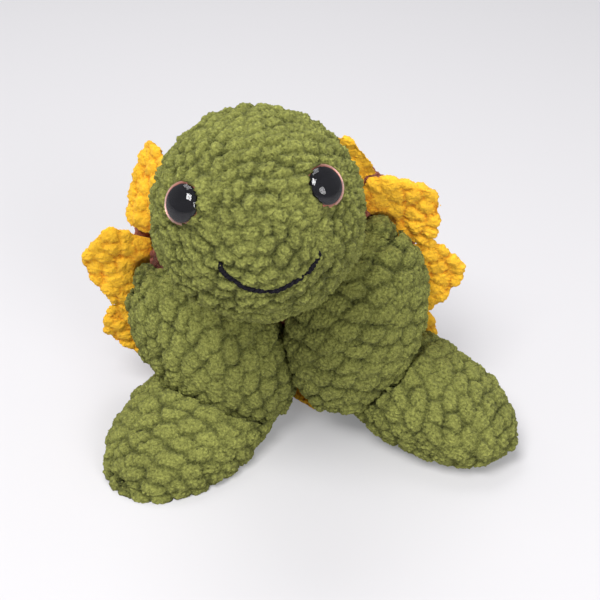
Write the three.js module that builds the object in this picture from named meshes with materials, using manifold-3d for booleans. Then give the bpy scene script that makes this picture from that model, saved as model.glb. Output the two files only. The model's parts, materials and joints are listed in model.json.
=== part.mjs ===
// A stuffed crochet turtle whose shell is a flower: a brown disc with a ring of yellow petals.
// It sits up on the rim of its shell, leans forward on its hind flippers and looks up.
// Millimetres, +Z up. The turtle faces -Y, and left and right are its own, so its left side is at +X.
// The origin lies on the floor, below the middle of the whole turtle.
import * as THREE from "three";
import { mergeVertices } from "three/addons/utils/BufferGeometryUtils.js";
import Module from "manifold-3d";

const wasm = await Module();
wasm.setup();
const { Manifold } = wasm;

// Driving sizes of the crocheted pieces
const wall = 8; // the thickness of the crocheted fabric
const clearance = 0.3; // between two pieces that touch
const headRadius = 61.5;
const bellyRadius = 84; // where belly, petals and shell are sewn together
const shellRadius = 97; // the shell swells out behind the petals
const seamPlane = 10; // the petals stand this far in front of the middle of the body
const shellWide = 8; // the shell is widest this far behind the middle of the body
const bellyDepth = 40; // how far the belly swells in front of the middle of the body
const shellDepth = 54; // how far the shell swells behind it
const petalReach = 44; // how far a petal stands out of the seam
const petalThickness = 10;
const petalCup = 5; // how far the long edges of a petal curl forward
const petalTab = 4; // how deep a petal is held between belly and shell
const frontFlipper = { length: 138, width: 92, thickness: 68 };
const hindFlipper = { length: 145, width: 90, thickness: 66 };
const rootReach = 10; // how far a flipper reaches back past the point that it turns about
const neckSeamRadius = 20; // the gathered yarn and stuffing that joins head and body
const flipperSeamRadius = 14;

// Driving sizes of the bought safety eyes and of the embroidered mouth
const eye = {
  radius: 12,
  domeHeight: 8.5,
  edge: 1.2, // the upright edge of the clear dome
  sink: 3, // how deep the eye is drawn into the fabric
  irisThickness: 1,
  pupilRadius: 10.2,
  pupilThickness: 1.4,
  stemRadius: 2.4,
  stemLength: 19,
  washerRadius: 9,
  washerThickness: 2.4,
};
const mouthRadius = 1.5;
const mouthStep = 1; // how far the mouth yarn lies out of its groove
const overrun = 4; // how far a cutter passes the surface that it cuts

// The way it sits: the body leans forward over its front and is rolled a little to its right
const bodyLean = 8;
const bodyRoll = 9;
const rimRise = 9; // the rim of the shell would stand this far off the floor if the body stood upright
const seatHeight = shellRadius + rimRise; // the middle of the body above the floor
const up = 90 + bodyRoll; // the angle of the head round the shell, from +X
const headRoll = 5.5;

// Where each limb is sewn on: an angle round the belly, a radius as a share of the belly's, and the way
// that the limb points from there. A spread share over 1 is wider and thinner, under what lies on it.
const neck = { angle: up - 3, share: 0.85, yaw: 1.5, pitch: 27 };
const limbs = {
  front_left: {
    size: frontFlipper, spreadShare: 1, angle: up - 67,
    share: 0.96, yaw: -39, pitch: -68, faces: "front",
  },
  front_right: {
    size: frontFlipper, spreadShare: 1, angle: up + 80,
    share: 0.97, yaw: 68, pitch: -41, faces: "front",
  },
  hind_left: {
    size: hindFlipper, spreadShare: 1, angle: up - 147,
    share: 0.93, yaw: 55, pitch: -12, faces: "up",
  },
  hind_right: {
    size: hindFlipper, spreadShare: 1.1, angle: up + 157,
    share: 0.92, yaw: -39, pitch: -13, faces: "up",
  },
};

// How the head nods back, and how each flipper swings on its seam: the front ones forward and up, and the
// hind ones down when the turtle is lifted
const swings = {
  neck: { axis: [-1, 0, 0], turn: 14 },
  front_left: { axis: [-0.94, 0.13, 0.3], turn: 30 },
  front_right: { axis: [-0.74, -0.4, -0.54], turn: 20 },
  hind_left: { axis: [0.62, 0.78, 0], turn: 25 },
  hind_right: { axis: [0.77, -0.63, 0], turn: 25 },
};
const neckGap = 2; // between the back of the head and the point that it turns about

// Petals run round the seam from the turtle's left side. Each curls forward (+) or back (-) from a share of
// its length on, and sways sideways. The two lowest are folded by the floor.
const firstPetalAngle = -1;
const petals = [
  { curl: 8, from: 0.1, sway: 16 },
  { curl: 12, from: 0.1, sway: 0 },
  { curl: 14, from: 0.1, sway: -12 },
  { curl: -30, from: 0.1, sway: -9 },
  { curl: -52, from: 0.1, sway: -44, spreadShare: 0.76 },
  { curl: 4, from: 0.1, sway: -16 },
  { curl: 8, from: 0.1, sway: -40 },
  { curl: -88, from: 0.34, sway: 0 },
  { curl: 80, from: 0.2, sway: -4 },
  { curl: 4, from: 0.1, sway: 37 },
];

// How finely the round forms are cut into flat faces
const bodySides = 24;
const bodyRings = 6;
const lipSteps = 3;
const headSides = 18;
const headRings = 12;
const flipperSides = 12;
const eyeSides = 14;
const seamSides = 12;
const seamRings = 7;
const petalSteps = 6;
const petalStrips = 5;
const petalRamp = 0.3; // the share of a petal's length over which its curl builds up
const mouthSteps = 24;

const green = new THREE.Color(0.3, 0.36, 0.12);
const yellow = new THREE.Color(0.93, 0.6, 0.06);
const brown = new THREE.Color(0.36, 0.15, 0.1);
const white = new THREE.Color(0.9, 0.9, 0.88);
const black = new THREE.Color(0.02, 0.02, 0.025);
const copper = new THREE.Color(0.72, 0.42, 0.36);
const materials = {
  plush: new THREE.MeshStandardMaterial({ color: green, roughness: 1, metalness: 0 }),
  petal: new THREE.MeshStandardMaterial({ color: yellow, roughness: 1, metalness: 0 }),
  shell: new THREE.MeshStandardMaterial({ color: brown, roughness: 1, metalness: 0 }),
  stuffing: new THREE.MeshStandardMaterial({ color: white, roughness: 1, metalness: 0 }),
  mouth: new THREE.MeshStandardMaterial({ color: black, roughness: 0.9, metalness: 0 }),
  pupil: new THREE.MeshStandardMaterial({ color: black, roughness: 0.2, metalness: 0 }),
  iris: new THREE.MeshStandardMaterial({ color: copper, roughness: 0.35, metalness: 0.3 }),
  washer: new THREE.MeshStandardMaterial({ color: white, roughness: 0.5, metalness: 0 }),
  lens: new THREE.MeshStandardMaterial({
    color: new THREE.Color(1, 1, 1), roughness: 0.05, metalness: 0, transparent: true, opacity: 0.3,
  }),
};

const degrees = THREE.MathUtils.degToRad;

// A closed three.js geometry as a solid that can be cut
function solidOf(geometry) {
  const bare = new THREE.BufferGeometry();
  const loose = geometry.index ? geometry.toNonIndexed() : geometry;
  bare.setAttribute("position", loose.getAttribute("position"));
  const merged = mergeVertices(bare, clearance / 100);
  const triVerts = new Uint32Array(merged.index.array);
  const vertProperties = new Float32Array(merged.getAttribute("position").array);
  const solid = new Manifold(new wasm.Mesh({ numProp: 3, vertProperties, triVerts }));
  if (solid.volume() > 0) return solid;
  for (let i = 0; i < triVerts.length; i += 3) {
    [triVerts[i], triVerts[i + 1]] = [triVerts[i + 1], triVerts[i]];
  }
  return new Manifold(new wasm.Mesh({ numProp: 3, vertProperties, triVerts }));
}

// A solid as a three.js geometry with flat faces
function geometryOf(solid) {
  const cut = solid.getMesh();
  const geometry = new THREE.BufferGeometry();
  const places = new Float32Array(cut.numVert * 3);
  for (let i = 0; i < cut.numVert; i += 1) {
    places.set(cut.vertProperties.subarray(i * cut.numProp, i * cut.numProp + 3), i * 3);
  }
  geometry.setAttribute("position", new THREE.BufferAttribute(places, 3));
  geometry.setIndex(new THREE.BufferAttribute(new Uint32Array(cut.triVerts), 1));
  geometry.computeVertexNormals();
  return geometry;
}

// The largest of the separate bodies that a cut can leave
function mainBody(solid) {
  const bodies = solid.decompose();
  return bodies.reduce((most, next) => (next.volume() > most.volume() ? next : most));
}

const toy = new THREE.Group();

// Adds a solid to a group as a named mesh
function place(name, solid, material, group) {
  const mesh = new THREE.Mesh(geometryOf(mainBody(solid)), material);
  mesh.name = name;
  group.add(mesh);
  return mesh;
}

// A solid that stands in one group's frame, given in another's
function carry(solid, from, to) {
  from.updateWorldMatrix(true, false);
  to.updateWorldMatrix(true, false);
  const move = to.matrixWorld.clone().invert().multiply(from.matrixWorld);
  return solid.transform(move.elements);
}

function turned(points, sides) {
  return new THREE.LatheGeometry(points, sides);
}

function ball(radius, sides, rings) {
  return solidOf(new THREE.SphereGeometry(radius, sides, rings));
}

// A round bar or disc about Y, from one height to another
function rod(radius, from, to, sides) {
  const outline = [
    new THREE.Vector2(0, from),
    new THREE.Vector2(radius, from),
    new THREE.Vector2(radius, to),
    new THREE.Vector2(0, to),
  ];
  return solidOf(turned(outline, sides));
}

// A flat ring about Y
function ring(inner, outer, from, to, sides) {
  return rod(outer, from, to, sides).subtract(rod(inner, from - overrun, to + overrun, sides));
}

// The body: two crocheted cups, belly in front and shell behind, with the petals held between their rims
const body = new THREE.Group();
body.position.z = seatHeight;
body.rotation.set(degrees(bodyLean), 0, 0);
toy.add(body);
const gapHalf = petalThickness / 2 + clearance; // petals are pinched between the two rims
const bellyRim = -seamPlane - gapHalf;
const shellRim = -seamPlane + gapHalf;

// A quarter of an ellipse about the middle of the body, from its widest place to its end on the axis
function swell(radius, from, to) {
  const points = [];
  for (let i = 0; i <= bodyRings; i += 1) {
    const turn = (i / bodyRings) * (Math.PI / 2);
    const out = i === bodyRings ? 0 : radius * Math.cos(turn);
    points.push(new THREE.Vector2(out, from + (to - from) * Math.sin(turn)));
  }
  return points;
}

function bellyCurve(margin) {
  return swell(bellyRadius + margin, bellyRim, -bellyDepth - margin);
}

// The shell rounds outward from its rim to its widest place, and from there to the middle of its back
function shellCurve(margin) {
  const points = [];
  const start = shellRim - margin;
  for (let i = 0; i < lipSteps; i += 1) {
    const turn = (i / lipSteps) * (Math.PI / 2);
    const out = bellyRadius + margin + (shellRadius - bellyRadius) * Math.sin(turn);
    points.push(new THREE.Vector2(out, shellWide - (shellWide - start) * Math.cos(turn)));
  }
  return [...points, ...swell(shellRadius + margin, shellWide, shellDepth + margin)];
}

// The whole round form of the body, grown or shrunk by a margin
function bodyForm(margin) {
  return solidOf(turned([...bellyCurve(margin).reverse(), ...shellCurve(margin)], bodySides));
}

function bellyCup() {
  const outer = bellyCurve(0);
  const inner = bellyCurve(-wall);
  return solidOf(turned([...outer.reverse(), ...inner], bodySides));
}

function shellCup() {
  const foot = new THREE.Vector2(bellyRadius - wall, shellRim);
  const inner = [foot, ...shellCurve(-wall)];
  return solidOf(turned([...shellCurve(0).reverse(), ...inner], bodySides));
}

function bellyPoint(angle, radius) {
  const depth = bellyRim - (bellyDepth + bellyRim) * Math.sqrt(1 - (radius / bellyRadius) ** 2);
  return new THREE.Vector3(radius * Math.cos(degrees(angle)), depth, radius * Math.sin(degrees(angle)));
}

// A frame at the point where a limb or the head is sewn on: +Y runs along the limb, and +Z is the side
// that shows when it lies at rest
function joinFrame({ angle, share, yaw, pitch }, facing) {
  const frame = new THREE.Group();
  const pivot = bellyPoint(angle, bellyRadius * share);
  body.updateWorldMatrix(true, false);
  frame.position.copy(body.localToWorld(pivot));
  const level = Math.cos(degrees(pitch));
  const along = new THREE.Vector3(
    Math.sin(degrees(yaw)) * level,
    -Math.cos(degrees(yaw)) * level,
    Math.sin(degrees(pitch)),
  );
  const across = new THREE.Vector3().crossVectors(along, facing).normalize();
  const out = new THREE.Vector3().crossVectors(across, along);
  frame.setRotationFromMatrix(new THREE.Matrix4().makeBasis(across, along, out));
  toy.add(frame);
  return frame;
}

const upward = new THREE.Vector3(0, 0, 1);
const forward = new THREE.Vector3(0, -1, 0);

// The way up for the head is rolled a little less than the body
const headUp = new THREE.Vector3(-Math.sin(degrees(headRoll)), 0, Math.cos(degrees(headRoll)));
const headFrame = joinFrame(neck, headUp);
const head = new THREE.Group();
head.position.y = headRadius + neckGap;
headFrame.add(head);

function headBall(radius) {
  return ball(radius, headSides, headRings);
}

// The flat faces of the head's ball and of its room lie this share of the radius from its middle
const headFacetShare = Math.cos(Math.PI / headSides) * Math.cos(Math.PI / 2 / headRings);

// The room that the head takes as it turns about the line through its face
function headRoom(margin) {
  return headBall((headRadius + clearance + margin) / headFacetShare);
}

const limbFrames = {};
for (const [name, limb] of Object.entries(limbs)) {
  limbFrames[name] = joinFrame(limb, limb.faces === "up" ? upward : forward);
}

// Everything that meets the floor is pressed flat on it
const floorSize = 4 * (bellyRadius + petalReach);
const floor = solidOf(new THREE.BoxGeometry(floorSize, floorSize, floorSize));
const floorFrame = new THREE.Group();
floorFrame.position.z = -floorSize / 2;
toy.add(floorFrame);

// The sewn joints are balls, and each turns in a round room that is a little larger
const seams = [["neck", headFrame, neckSeamRadius]];
for (const [name, frame] of Object.entries(limbFrames)) {
  seams.push([name, frame, flipperSeamRadius]);
}

function seamBall(radius) {
  return ball(radius, seamSides, seamRings);
}

// The flat faces of the room stay clear of the ball at every angle
function seamRoom(radius) {
  const share = Math.cos(Math.PI / seamSides) * Math.cos(Math.PI / 2 / seamRings);
  return seamBall((radius + clearance) / share).rotate([0, 180 / seamSides, 0]);
}

// The rooms of the joints, but for a piece's own, as cutters in its frame
function seamRooms(to, margin = 0, own = "") {
  const others = seams.filter(([name]) => name !== own);
  return others.map(([, frame, radius]) => carry(seamRoom(radius + margin), frame, to));
}

function without(solid, rooms) {
  return rooms.reduce((left, room) => left.subtract(room), solid);
}

function clearOfSeams(solid) {
  return without(solid, seamRooms(body));
}

const shellAboveFloor = shellCup().subtract(carry(floor, floorFrame, body));
place("belly_panel", clearOfSeams(bellyCup()), materials.shell, body);
place("shell_back", clearOfSeams(shellAboveFloor), materials.shell, body);
const fillMargin = -wall - clearance;
place("body_stuffing", clearOfSeams(bodyForm(fillMargin)), materials.stuffing, body);
const rimSeam = ring(
  bellyRadius - wall,
  bellyRadius - petalTab - clearance,
  bellyRim + clearance,
  shellRim - clearance,
  bodySides,
);
place("rim_seam", clearOfSeams(rimSeam), materials.shell, body);

// A flipper: a plump pod that swells from its sewn root and tapers to a round tip, along +Y
const podShares = [[0, 0], [0.02, 0.3], [0.06, 0.52], [0.14, 0.74], [0.26, 0.91], [0.4, 1], [0.56, 1],
  [0.72, 0.9], [0.86, 0.68], [0.95, 0.42], [1, 0]];

function pod({ size, spreadShare }, margin) {
  const length = size.length + 2 * margin;
  const half = (size.width / 2) * spreadShare + margin;
  const points = podShares.map(([along, out]) =>
    new THREE.Vector2(out * half, along * length - rootReach - margin));
  const geometry = turned(points, flipperSides);
  geometry.scale(1, 1, (size.thickness / 2 / spreadShare + margin) / half);
  return solidOf(geometry);
}

// The room behind the front of the petals
function petalRoom(margin) {
  const front = -seamPlane - petalThickness / 2 - petalCup - margin;
  return rod(bellyRadius + petalReach + overrun, front, shellDepth, bodySides);
}

// The move that a share of a joint's swing makes, in the frame of the whole turtle
function swingOf(mover, share) {
  const { axis, turn } = swings[mover];
  const pivot = (mover === "neck" ? headFrame : limbFrames[mover]).position;
  const move = new THREE.Matrix4().makeTranslation(pivot.x, pivot.y, pivot.z);
  const way = new THREE.Vector3(...axis).normalize();
  move.multiply(new THREE.Matrix4().makeRotationAxis(way, degrees(turn * share)));
  return move.multiply(new THREE.Matrix4().makeTranslation(-pivot.x, -pivot.y, -pivot.z));
}

// All the room that a rounded solid takes from its rest to the end of a swing, or seen from the mover with
// a negative share
function sweptRoom(solid, from, mover, share, to) {
  const rest = carry(solid, from, toy);
  const half = rest.transform(swingOf(mover, share / 2).elements);
  const full = rest.transform(swingOf(mover, share).elements);
  return carry(Manifold.hull([rest, half, full]), toy, to);
}

// The plane across the room that two round forms would share, with its normal from the first to the second
function pressPlane(first, second) {
  const shared = first.intersect(second);
  if (shared.volume() < clearance ** 3) return null;
  const relief = (x, y, z) => shared.volume() - first.intersect(second.translate([x, y, z])).volume();
  const step = clearance / 10;
  const normal = new THREE.Vector3(relief(step, 0, 0), relief(0, step, 0), relief(0, 0, step));
  const { min, max } = shared.boundingBox();
  const middle = new THREE.Vector3(...min).add(new THREE.Vector3(...max)).divideScalar(2);
  return new THREE.Plane().setFromNormalAndCoplanarPoint(normal.normalize(), middle);
}

// Everything beyond a plane, from a distance before it on
function beyond(plane, distance) {
  const turn = new THREE.Quaternion().setFromUnitVectors(upward, plane.normal);
  const start = plane.coplanarPoint(new THREE.Vector3()).addScaledVector(plane.normal, -distance);
  const move = new THREE.Matrix4().compose(start, turn, new THREE.Vector3(1, 1, 1));
  const block = new THREE.BoxGeometry(2 * floorSize, 2 * floorSize, 2 * floorSize);
  return solidOf(block).translate([0, 0, floorSize]).transform(move.elements);
}

// Two stuffed flippers that press on each other, at rest or where one of them swings, are both flattened
// along one plane
const forms = {};
const flats = {};
for (const [name, frame] of Object.entries(limbFrames)) {
  forms[name] = carry(pod(limbs[name], 0), frame, toy);
  flats[name] = [];
}

function flatten(name, plane) {
  flats[name].push(plane);
  forms[name] = forms[name].subtract(beyond(plane, clearance / 2));
}

function press(first, second, mover, share) {
  const there = swingOf(mover, share);
  const back = there.clone().invert();
  const seen = (name) => (name === mover ? forms[name].transform(there.elements) : forms[name]);
  const plane = pressPlane(seen(first), seen(second));
  if (!plane) return;
  for (const [name, own] of [[first, plane], [second, plane.clone().negate()]]) {
    flatten(name, name === mover ? own.applyMatrix4(back) : own);
  }
}

const limbNames = Object.keys(limbs);
limbNames.forEach((first, i) => {
  for (const second of limbNames.slice(i + 1)) {
    press(first, second, first, 0);
    for (const mover of [first, second]) {
      for (const share of [0.25, 0.5, 0.75, 1]) press(first, second, mover, share);
    }
  }
});

// Each flipper also gives way to the body, the petals, the floor and the head. Its fabric runs on across
// each place where it is pressed in.
for (const [name, frame] of Object.entries(limbFrames)) {
  const rooms = (margin) => [
    sweptRoom(bodyForm(clearance + margin), body, name, -1, frame),
    carry(petalRoom(clearance + margin), body, frame),
    carry(floor.translate([0, 0, margin]), floorFrame, frame),
    carry(headRoom(margin), head, frame),
    ...seamRooms(frame, margin, name),
    ...flats[name].map((plane) => carry(beyond(plane, clearance / 2 + margin), toy, frame)),
  ];
  const own = seamRoom(flipperSeamRadius);
  const hollow = without(pod(limbs[name], -wall), rooms(wall));
  const cover = without(pod(limbs[name], 0), [...rooms(0), hollow, own]);
  const fill = without(pod(limbs[name], -wall - clearance), [...rooms(wall + clearance), own]);
  place(`${name}_flipper_cover`, cover, materials.plush, frame);
  place(`${name}_flipper_stuffing`, fill, materials.stuffing, frame);
  place(`${name}_flipper_seam`, seamBall(flipperSeamRadius), materials.plush, frame);
}

// One petal: a soft pad that is widest past the rim of the shell, runs to a round point and curls along its
// length. It lies in its own frame, with +Z out of the seam.
const petalPitch = 360 / petals.length;
const petalLength = petalTab + petalReach;
const petalWidthShares = [0.94, 1.08, 1.24, 1.28, 1.08, 0.7, 0.22];
const petalSwellShares = [1, 1, 1.05, 1.1, 1.05, 0.9, 0.5];

function petalForm({ curl, from, sway, spreadShare = 1 }, margin) {
  const half = spreadShare * bellyRadius * Math.tan(degrees(petalPitch / 2)) - clearance / 2 + margin;
  const spine = [];
  let out = bellyRadius - petalTab - margin;
  let rise = seamPlane;
  let aside = 0;
  const step = (petalLength + 2 * margin) / petalSteps;
  for (let i = 0; i <= petalSteps; i += 1) {
    const along = i / petalSteps;
    const share = Math.min(1, Math.max(0, (along - from) / petalRamp));
    const bend = degrees(curl) * share;
    spine.push({ out, rise, aside, bend, width: half * petalWidthShares[i], swell: petalSwellShares[i] });
    out += step * Math.cos(bend);
    rise += step * Math.sin(bend);
    aside -= step * Math.sin(degrees(sway)) * share;
  }
  const point = (i, j, side) => {
    const { out: radial, rise: depth, aside: shift, bend, width, swell: fullness } = spine[i];
    const across = (2 * j) / petalStrips - 1;
    const full = (petalThickness / 2) * fullness * Math.sqrt(1 - across ** 4) + margin;
    const held = Math.min(1, i / 2);
    const lift = side * full + petalCup * held * across ** 2;
    return [width * across + shift, -depth - lift * Math.cos(bend), radial - lift * Math.sin(bend)];
  };
  return solidOf(closedPad(point, petalSteps, petalStrips));
}

// A closed pad from two faces of a grid, with its long edges and its two ends closed
function closedPad(point, steps, strips) {
  const places = [];
  const face = (a, b, c, d) => places.push(...a, ...b, ...c, ...a, ...c, ...d);
  for (let i = 0; i < steps; i += 1) {
    for (let j = 0; j < strips; j += 1) {
      face(point(i, j, 1), point(i + 1, j, 1), point(i + 1, j + 1, 1), point(i, j + 1, 1));
      face(point(i, j, -1), point(i, j + 1, -1), point(i + 1, j + 1, -1), point(i + 1, j, -1));
    }
    face(point(i, 0, 1), point(i, 0, -1), point(i + 1, 0, -1), point(i + 1, 0, 1));
    face(point(i, strips, 1), point(i + 1, strips, 1), point(i + 1, strips, -1), point(i, strips, -1));
  }
  for (let j = 0; j < strips; j += 1) {
    face(point(0, j, 1), point(0, j + 1, 1), point(0, j + 1, -1), point(0, j, -1));
    face(point(steps, j, 1), point(steps, j, -1), point(steps, j + 1, -1), point(steps, j + 1, 1));
  }
  const geometry = new THREE.BufferGeometry();
  geometry.setAttribute("position", new THREE.BufferAttribute(new Float32Array(places), 3));
  return geometry;
}

const petalFrames = petals.map((petal, i) => {
  const frame = new THREE.Group();
  frame.rotation.y = degrees(90 - (firstPetalAngle + i * petalPitch));
  body.add(frame);
  return frame;
});

// Each petal gives way to the floor, the sewn joints, the head, the hind flippers and the petal before it
petals.forEach((petal, i) => {
  const frame = petalFrames[i];
  const before = (i + petals.length - 1) % petals.length;
  const rooms = [carry(floor, floorFrame, frame), ...seamRooms(frame)];
  let solid = without(petalForm(petal, 0), rooms);
  if (i > 0) solid = solid.subtract(carry(petalForm(petals[before], clearance), petalFrames[before], frame));
  if (i === petals.length - 1) {
    solid = solid.subtract(carry(petalForm(petals[0], clearance), petalFrames[0], frame));
  }
  for (const name of ["hind_left", "hind_right"]) {
    solid = solid.subtract(sweptRoom(pod(limbs[name], clearance), limbFrames[name], name, 1, frame));
  }
  solid = solid.subtract(sweptRoom(headRoom(0), head, "neck", 1, frame));
  place(`petal_${String(i + 1).padStart(2, "0")}`, solid, materials.petal, frame);
});

// The head: a stuffed ball that is sewn on at its back, with its face at the far end of +Y
place("neck_seam", seamBall(neckSeamRadius), materials.plush, headFrame);
const neckRoom = carry(seamRoom(neckSeamRadius), headFrame, head);
const bodyRoom = (margin) => carry(bodyForm(clearance + margin), body, head);
const hollow = headBall(headRadius - wall).subtract(bodyRoom(wall));
let cover = without(headBall(headRadius), [bodyRoom(0), hollow, neckRoom]);
let fill = without(headBall(headRadius - wall - clearance), [bodyRoom(wall + clearance), neckRoom]);

// A safety eye: a clear dome over a black pupil on a ribbed stem, a coloured disc behind it, and the washer
// that is pushed on the stem inside the head. +Y runs out of the face.
const eyeSeat = headRadius - eye.sink;
const lining = (headRadius - wall) * headFacetShare; // the least radius of the cover's faceted inside
const washerTop = Math.sqrt(lining ** 2 - eye.washerRadius ** 2) - clearance;

function eyeDome() {
  const back = eye.irisThickness + 2 * clearance;
  const points = [new THREE.Vector2(0, back), new THREE.Vector2(eye.radius, back)];
  const domeSteps = 5;
  for (let i = 0; i <= domeSteps; i += 1) {
    const turn = (i / domeSteps) * (Math.PI / 2);
    const out = i === domeSteps ? 0 : eye.radius * Math.cos(turn);
    const rise = (eye.domeHeight - eye.edge) * Math.sin(turn);
    points.push(new THREE.Vector2(out, back + eye.edge + rise));
  }
  const pocket = rod(
    eye.pupilRadius + clearance,
    back - overrun,
    back + eye.pupilThickness + clearance,
    eyeSides,
  );
  return solidOf(turned(points, eyeSides)).subtract(pocket);
}

function pupilOnStem() {
  const back = eye.irisThickness + 2 * clearance;
  const disc = rod(eye.pupilRadius, back, back + eye.pupilThickness, eyeSides);
  return disc.add(rod(eye.stemRadius, back - eye.stemLength, back + eye.pupilThickness / 2, eyeSides));
}

const eyeAngle = { across: 39, above: 12.5 };
for (const [side, sign] of [["left", -1], ["right", 1]]) {
  const frame = new THREE.Group();
  const turn = new THREE.Euler(degrees(eyeAngle.above), 0, degrees(-sign * eyeAngle.across), "ZXY");
  frame.setRotationFromEuler(turn);
  head.add(frame);
  const seat = new THREE.Group();
  seat.position.y = eyeSeat;
  frame.add(seat);
  const hole = rod(eye.stemRadius + clearance, -headRadius / 2, overrun, eyeSides);
  const pocket = rod(eye.radius + clearance, 0, headRadius / 2, eyeSides);
  const washerFrom = washerTop - eye.washerThickness - eyeSeat;
  const washerRoom = rod(
    eye.washerRadius + clearance,
    washerFrom - clearance,
    washerTop - eyeSeat + overrun,
    eyeSides,
  );
  cover = cover.subtract(carry(hole, seat, head)).subtract(carry(pocket, seat, head));
  fill = fill.subtract(carry(hole, seat, head)).subtract(carry(washerRoom, seat, head));
  place(`eye_lens_${side}`, eyeDome(), materials.lens, seat);
  place(`eye_pupil_${side}`, pupilOnStem(), materials.pupil, seat);
  const iris = ring(
    eye.stemRadius + clearance,
    eye.radius - clearance,
    clearance,
    clearance + eye.irisThickness,
    eyeSides,
  );
  place(`eye_iris_${side}`, iris, materials.iris, seat);
  const washer = ring(
    eye.stemRadius + clearance,
    eye.washerRadius,
    washerFrom,
    washerTop - eyeSeat,
    eyeSides,
  );
  place(`eye_washer_${side}`, washer, materials.washer, seat);
}

// The mouth: black yarn sewn along a wide U below the middle of the face, in a groove of the fabric
function mouthCurve() {
  const lay = headRadius - mouthRadius + mouthStep;
  const mouthShares = [[-0.52, -0.35], [-0.46, -0.44], [-0.39, -0.52], [-0.26, -0.59], [-0.09, -0.65],
    [0.06, -0.63], [0.18, -0.58], [0.29, -0.49], [0.36, -0.4], [0.37, -0.33]];
  const points = mouthShares.map(([across, above]) =>
    new THREE.Vector3(across, Math.sqrt(1 - across ** 2 - above ** 2), above).multiplyScalar(lay));
  return new THREE.CatmullRomCurve3(points);
}

function yarn(radius) {
  const section = new THREE.Shape();
  section.absarc(0, 0, radius, 0, 2 * Math.PI);
  const options = { steps: mouthSteps, extrudePath: mouthCurve(), curveSegments: 3 };
  return solidOf(new THREE.ExtrudeGeometry(section, options));
}

place("mouth_yarn", yarn(mouthRadius), materials.mouth, head);
cover = cover.subtract(yarn(mouthRadius + clearance));
place("head_cover", cover, materials.plush, head);
place("head_stuffing", fill, materials.stuffing, head);

// The origin goes below the middle of the turtle
const size = new THREE.Box3().setFromObject(toy, true);
const middle = size.getCenter(new THREE.Vector3());
toy.position.set(-middle.x, -middle.y, -size.min.z);

export default toy;
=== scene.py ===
"""A crocheted turtle in thick chenille yarn, whose shell is a flower with ten yellow petals.

Metres, +Z up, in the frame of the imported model: the turtle faces -Y and its left side is at +X.
"""
import json
import math
import random

import bmesh
import bpy
import numpy as np
from mathutils import Matrix, Vector, bvhtree, kdtree, noise


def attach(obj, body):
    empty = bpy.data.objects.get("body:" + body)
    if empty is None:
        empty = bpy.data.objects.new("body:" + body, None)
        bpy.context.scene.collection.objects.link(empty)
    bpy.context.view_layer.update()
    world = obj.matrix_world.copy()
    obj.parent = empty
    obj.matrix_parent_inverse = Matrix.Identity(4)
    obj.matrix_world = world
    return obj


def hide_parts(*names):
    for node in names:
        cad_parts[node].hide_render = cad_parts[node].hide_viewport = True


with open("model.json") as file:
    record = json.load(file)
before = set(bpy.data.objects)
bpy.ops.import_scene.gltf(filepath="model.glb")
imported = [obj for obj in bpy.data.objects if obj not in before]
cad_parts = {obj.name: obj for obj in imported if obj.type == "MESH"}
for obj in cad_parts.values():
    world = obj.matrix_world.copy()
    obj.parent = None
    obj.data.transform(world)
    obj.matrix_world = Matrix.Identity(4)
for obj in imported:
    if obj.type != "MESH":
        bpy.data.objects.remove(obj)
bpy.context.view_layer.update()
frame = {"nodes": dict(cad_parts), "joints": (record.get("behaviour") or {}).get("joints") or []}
mm = 0.001

# The filling of the body
# Loose polyester fibre, pushed in by hand before the last rounds of the shell are worked. It fills the room
# between the two cups, and it has the soft uneven surface of teased fibre.
fill_grain = 3.2 * mm
fill_softness = 4
fill_tufts = 1.6 * mm
fill_tuft_scale = 110
fill_back = 0.6
weld_gap = 0.01 * mm

# These keep a division by a distance from failing at zero
least = 1e-6
tiny = 1e-9


def select_only(piece):
    bpy.ops.object.select_all(action="DESELECT")
    piece.select_set(True)
    bpy.context.view_layer.objects.active = piece


def even_copy(node, name, grain, softness):
    """A copy of a node's solid with small even faces, ready to be shaped as fabric or as filling."""
    piece = bpy.data.objects.new(name, frame["nodes"][node].data.copy())
    bpy.context.scene.collection.objects.link(piece)
    piece.data.materials.clear()
    select_only(piece)
    bpy.ops.object.mode_set(mode="EDIT")
    bpy.ops.mesh.select_all(action="SELECT")
    bpy.ops.mesh.remove_doubles(threshold=weld_gap)
    bpy.ops.object.mode_set(mode="OBJECT")
    even = piece.modifiers.new("even", "REMESH")
    even.mode = "VOXEL"
    even.voxel_size = grain * 1
    bpy.ops.object.modifier_apply(modifier="even")
    soft = piece.modifiers.new("soft", "SMOOTH")
    soft.factor = 0.5
    soft.iterations = softness
    bpy.ops.object.modifier_apply(modifier="soft")
    return piece


def points_of(piece, value="co"):
    """The places of a mesh's points, or their normals, as rows of three."""
    rows = np.empty(len(piece.data.vertices) * 3)
    piece.data.vertices.foreach_get(value, rows)
    return rows.reshape(-1, 3)


def normals_of(piece):
    return points_of(piece, "normal")


def move_points(piece, places):
    piece.data.vertices.foreach_set("co", places.reshape(-1))
    piece.data.update()


def keep_value(piece, name, values):
    """Keeps one number for each point of the mesh, for the material to read."""
    layer = piece.data.attributes.new(name, "FLOAT", "POINT")
    layer.data.foreach_set("value", np.asarray(values, np.float32))


def fibre_fill(node, name):
    """The filling of one piece: its room, with tufts that stand a little back from the fabric."""
    piece = even_copy(node, name, fill_grain, fill_softness)
    places = points_of(piece)
    tufts = np.array([noise.fractal(Vector(place) * fill_tuft_scale, 1.0, 2.0, 3) for place in places])
    depth = np.clip(fill_back + tufts, 0, 1 + fill_back)
    move_points(piece, places - normals_of(piece) * (depth * fill_tufts)[:, None])
    piece.data.shade_smooth()
    piece.data.materials.append(fibre)
    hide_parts(node)
    return piece


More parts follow.
